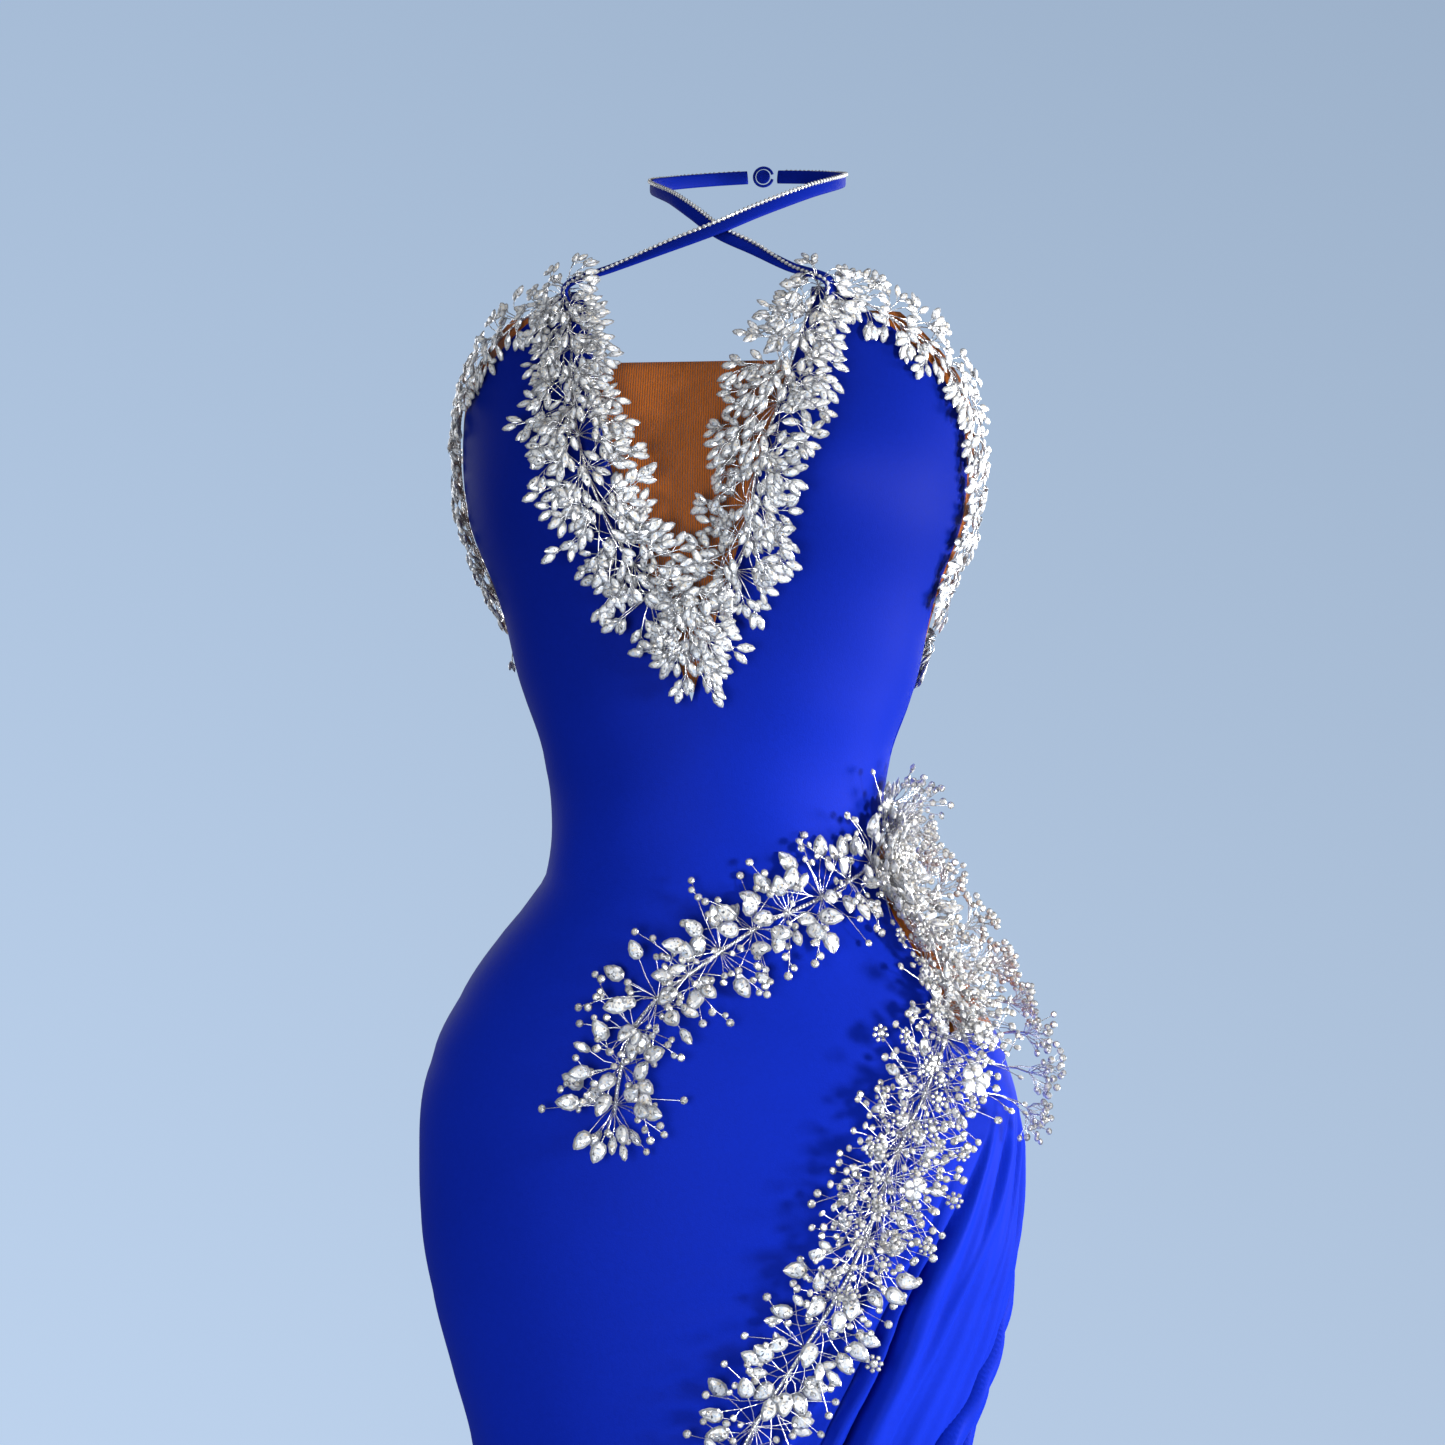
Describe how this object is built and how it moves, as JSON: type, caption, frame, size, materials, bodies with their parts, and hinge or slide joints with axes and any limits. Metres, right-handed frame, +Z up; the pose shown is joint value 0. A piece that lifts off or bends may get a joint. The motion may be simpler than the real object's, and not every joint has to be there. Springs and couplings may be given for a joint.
{
  "type": "evening gown",
  "caption": "Fitted halter evening gown in its worn shape, with a plunging mesh neckline, crystal trim, hip cut-out, draped side, slit and back zip.",
  "frame": {"origin": "middle of the natural waist, where the wearer or a dress form holds the gown", "axes": "+Z up, -Y the wearer's front, +X the wearer's left"},
  "size_m": [0.4018, 0.3536, 1.4129],
  "materials": {
    "royal_blue_crepe": "matte satin-back stretch crepe",
    "nude_mesh": "sheer fine-ribbed mesh",
    "power_mesh": "matte knitted lining",
    "cup_foam": "fabric-covered moulded foam",
    "covered_bone": "cotton casing over a flat bone",
    "stay_tape": "grosgrain",
    "zip_tape": "woven tape with nylon coil",
    "nickel": "polished nickel plate",
    "crystal": "clear faceted crystal on silver wire"
  },
  "bodies": {
    "gown": {"front_panel": "royal_blue_crepe", "back_panel_left": "royal_blue_crepe", "back_panel_right": "royal_blue_crepe", "hip_drape_panel": "royal_blue_crepe", "strap_left": "royal_blue_crepe", "strap_right": "royal_blue_crepe", "nape_button": "royal_blue_crepe", "nape_loop": "royal_blue_crepe", "neckline_mesh": "nude_mesh", "armhole_mesh_left": "nude_mesh", "armhole_mesh_right": "nude_mesh", "hip_mesh": "nude_mesh", "bodice_lining": "power_mesh", "bust_cup_left": "cup_foam", "bust_cup_right": "cup_foam", "bone_front_left": "covered_bone", "bone_front_right": "covered_bone", "bone_side_left": "covered_bone", "bone_side_right": "covered_bone", "bone_back_left": "covered_bone", "bone_back_right": "covered_bone", "waist_stay": "stay_tape", "zip_tape_left": "zip_tape", "zip_tape_right": "zip_tape", "zip_coil_left": "zip_tape", "zip_coil_right": "zip_tape", "zip_top_stop_left": "nickel", "zip_top_stop_right": "nickel", "zip_bottom_stop": "nickel", "top_hook": "nickel", "top_eye": "nickel", "stay_hook": "nickel", "stay_eye": "nickel", "neckline_spray_left": "crystal", "neckline_spray_right": "crystal", "neckline_spray_point": "crystal", "armhole_spray_left": "crystal", "armhole_spray_right": "crystal", "back_spray_left": "crystal", "back_spray_right": "crystal", "hip_vine_front": "crystal", "hip_vine_side": "crystal", "hip_vine_lower": "crystal", "strap_chain_left": "crystal", "strap_chain_right": "crystal"},
    "slider": {"zip_slider": "nickel"},
    "puller": {"zip_puller": "nickel"}
  },
  "joints": [
    {"name": "zip_travel", "type": "slide", "parent": "gown", "child": "slider", "axis": [0, 0.213, -0.9771], "range_m": [0, 0.168]},
    {"name": "puller_swing", "type": "hinge", "parent": "slider", "child": "puller", "pos_m": [0, 0.08315, 0.01387], "axis": [1, 0, 0], "range_deg": [0, 150]}
  ]
}
